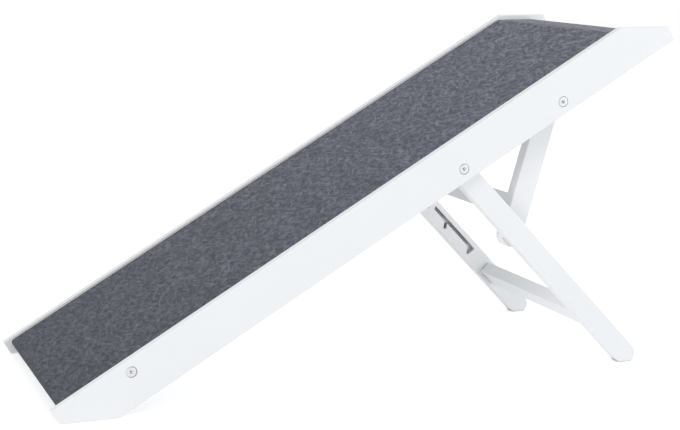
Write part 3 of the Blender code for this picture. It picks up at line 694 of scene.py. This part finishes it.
class PETRAMP_OT_bolts(RampOperator, bpy.types.Operator):
    """Turns the flush bolts, with their hex sockets"""
    bl_idname = "petramp.bolts"
    bl_label = "Bolts"

    def execute(self, context):
        bolts = context.scene.ramp_bolts
        for label, side in SIDES:
            face = Vector((0, side * OUTER_FACE, 0))
            deck = up_slope(DECK_BOLT[0], 0, DECK_BOLT[1]) + face
            flush_bolt(f"bolt_deck_{label}", deck, side, DECK_SHANK, RAMP, bolts, f"deck_bolt_{label}")
            leg = LEG_PIVOT + face
            flush_bolt(f"bolt_leg_{label}", leg, side, LEG_SHANK, LEGS, bolts, f"leg_pivot_bolt_{label}")
            brace = BRACE_PIVOT + face
            flush_bolt(f"bolt_brace_{label}", brace, side, BRACE_SHANK, BRACES, bolts,
                       f"brace_pivot_bolt_{label}")
            low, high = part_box(f"notch_pin_{label}")
            pin = (low + high) / 2
            pin.y = side * NOTCH_FACE
            flush_bolt(f"bolt_notch_{label}", pin, -side, NOTCH_SHANK, BRACES, bolts, f"notch_pin_{label}",
                       NOTCH_WIDTH)
        return {"FINISHED"}


class PETRAMP_OT_fittings(RampOperator, bpy.types.Operator):
    """Finishes the inserts, barrel nuts, washers, spacers and dowels"""
    bl_idname = "petramp.fittings"
    bl_label = "Fittings"

    def execute(self, context):
        for name in frame["nodes"]:
            if "_insert_" in name:
                dress(finish_of("insert_brass"), "brass", name)
            elif "barrel_nut" in name:
                dress(finish_of("zinc_steel"), "zinc_steel", name)
            elif "washer" in name or "spacer" in name:
                dress(finish_of("washer_nylon"), "nylon", name)
            elif "dowel" in name:
                dress(finish_of("dowel_beech"), "beech", name)
        return {"FINISHED"}


class PETRAMP_OT_studio(RampOperator, bpy.types.Operator):
    """Sets up the white floor, the soft light and the camera"""
    bl_idname = "petramp.studio"
    bl_label = "Studio"

    def execute(self, context):
        studio = context.scene.ramp_studio
        lay_floor(studio)
        light_sky(context.scene, studio)
        for name, place in LAMPS.items():
            hang_lamp(name + "_lamp", place, getattr(studio, name))
        place_camera(context.scene, studio)
        context.scene.view_settings.view_transform = "Standard"
        return {"FINISHED"}


def lay_floor(studio):
    mesh = bpy.data.meshes.new("floor")
    disc = bmesh.new()
    bmesh.ops.create_circle(disc, cap_ends=True, segments=96, radius=studio.floor_radius)
    disc.to_mesh(mesh)
    disc.free()
    mesh.materials.append(white_floor(studio))
    floor = bpy.data.objects.new("floor", mesh)
    bpy.context.scene.collection.objects.link(floor)


def white_floor(studio):
    """White to the camera, with the object's shadow kept in it."""
    r = new_material("white_floor")
    matt = r.node("BsdfDiffuse", None, {"Color": rgba(studio.floor_colour)})
    glow = r.node("Emission", None, {"Strength": studio.floor_lift})
    lifted = r.node("AddShader", None, {0: matt, 1: glow})
    r.node("OutputMaterial", None, {"Surface": r.node("MixShader", None, {0: r.seen(), 1: matt, 2: lifted})})
    return r.owner


def light_sky(scene, studio):
    """Even white light, and a plain white wherever the sky itself is seen."""
    scene.world = bpy.data.worlds.new("white_sky")
    r = Recipe(scene.world)
    white = r.node("Background", None, {"Color": (1, 1, 1, 1), "Strength": 1.0})
    even = r.node("Background", None, {"Color": rgba(studio.sky_colour), "Strength": studio.sky})
    r.node("OutputWorld", None, {"Surface": r.node("MixShader", None, {0: r.seen(), 1: even, 2: white})})


def hang_lamp(name, place, power):
    lamp = bpy.data.lights.new(name, "AREA")
    lamp.shape = "DISK"
    lamp.size = LAMP_SIZE
    lamp.energy = power
    holder = bpy.data.objects.new(name, lamp)
    holder.location = place
    holder.rotation_mode = "QUATERNION"
    holder.rotation_quaternion = (LAMP_AIM - Vector(place)).to_track_quat("-Z", "Y")
    bpy.context.scene.collection.objects.link(holder)


def place_camera(scene, studio):
    lens = bpy.data.cameras.new("camera")
    lens.sensor_fit = "HORIZONTAL"
    lens.sensor_width = 36
    lens.lens = studio.lens
    lens.clip_start, lens.clip_end = 0.05, 60
    camera = bpy.data.objects.new("camera", lens)
    camera.location = studio.camera_place
    camera.rotation_euler = studio.camera_turn
    scene.collection.objects.link(camera)
    scene.camera = camera


class PETRAMP_PT_sidebar(bpy.types.Panel):
    """Lists the ramp's sizes and colours, and the buttons that make its pieces"""
    bl_idname = "PETRAMP_PT_sidebar"
    bl_label = "Pet Ramp"
    bl_space_type = "VIEW_3D"
    bl_region_type = "UI"
    bl_category = "Pet Ramp"

    def draw(self, context):
        for group in GROUPS:
            box = self.layout.box()
            box.label(text=group.__doc__.rstrip("."))
            values = getattr(context.scene, GROUPS[group])
            for name in values.bl_rna.properties.keys():
                if name not in ("rna_type", "name"):
                    box.prop(values, name)
        for maker in MAKERS:
            self.layout.operator(maker.bl_idname)


GROUPS = {RampPaint: "ramp_paint", RampFelt: "ramp_felt", RampBolts: "ramp_bolts", RampStudio: "ramp_studio"}
MAKERS = (PETRAMP_OT_studio, PETRAMP_OT_deck, PETRAMP_OT_carpet, PETRAMP_OT_legs, PETRAMP_OT_braces,
          PETRAMP_OT_bolts, PETRAMP_OT_fittings)


def register():
    for group, name in GROUPS.items():
        bpy.utils.register_class(group)
        setattr(bpy.types.Scene, name, PointerProperty(type=group))
    for maker in MAKERS:
        bpy.utils.register_class(maker)
    bpy.utils.register_class(PETRAMP_PT_sidebar)


def unregister():
    bpy.utils.unregister_class(PETRAMP_PT_sidebar)
    for maker in reversed(MAKERS):
        bpy.utils.unregister_class(maker)
    for group, name in reversed(GROUPS.items()):
        delattr(bpy.types.Scene, name)
        bpy.utils.unregister_class(group)


def main():
    register()
    for maker in MAKERS:
        group, name = maker.bl_idname.split(".")
        getattr(getattr(bpy.ops, group), name)()


if __name__ == "__main__":
    main()
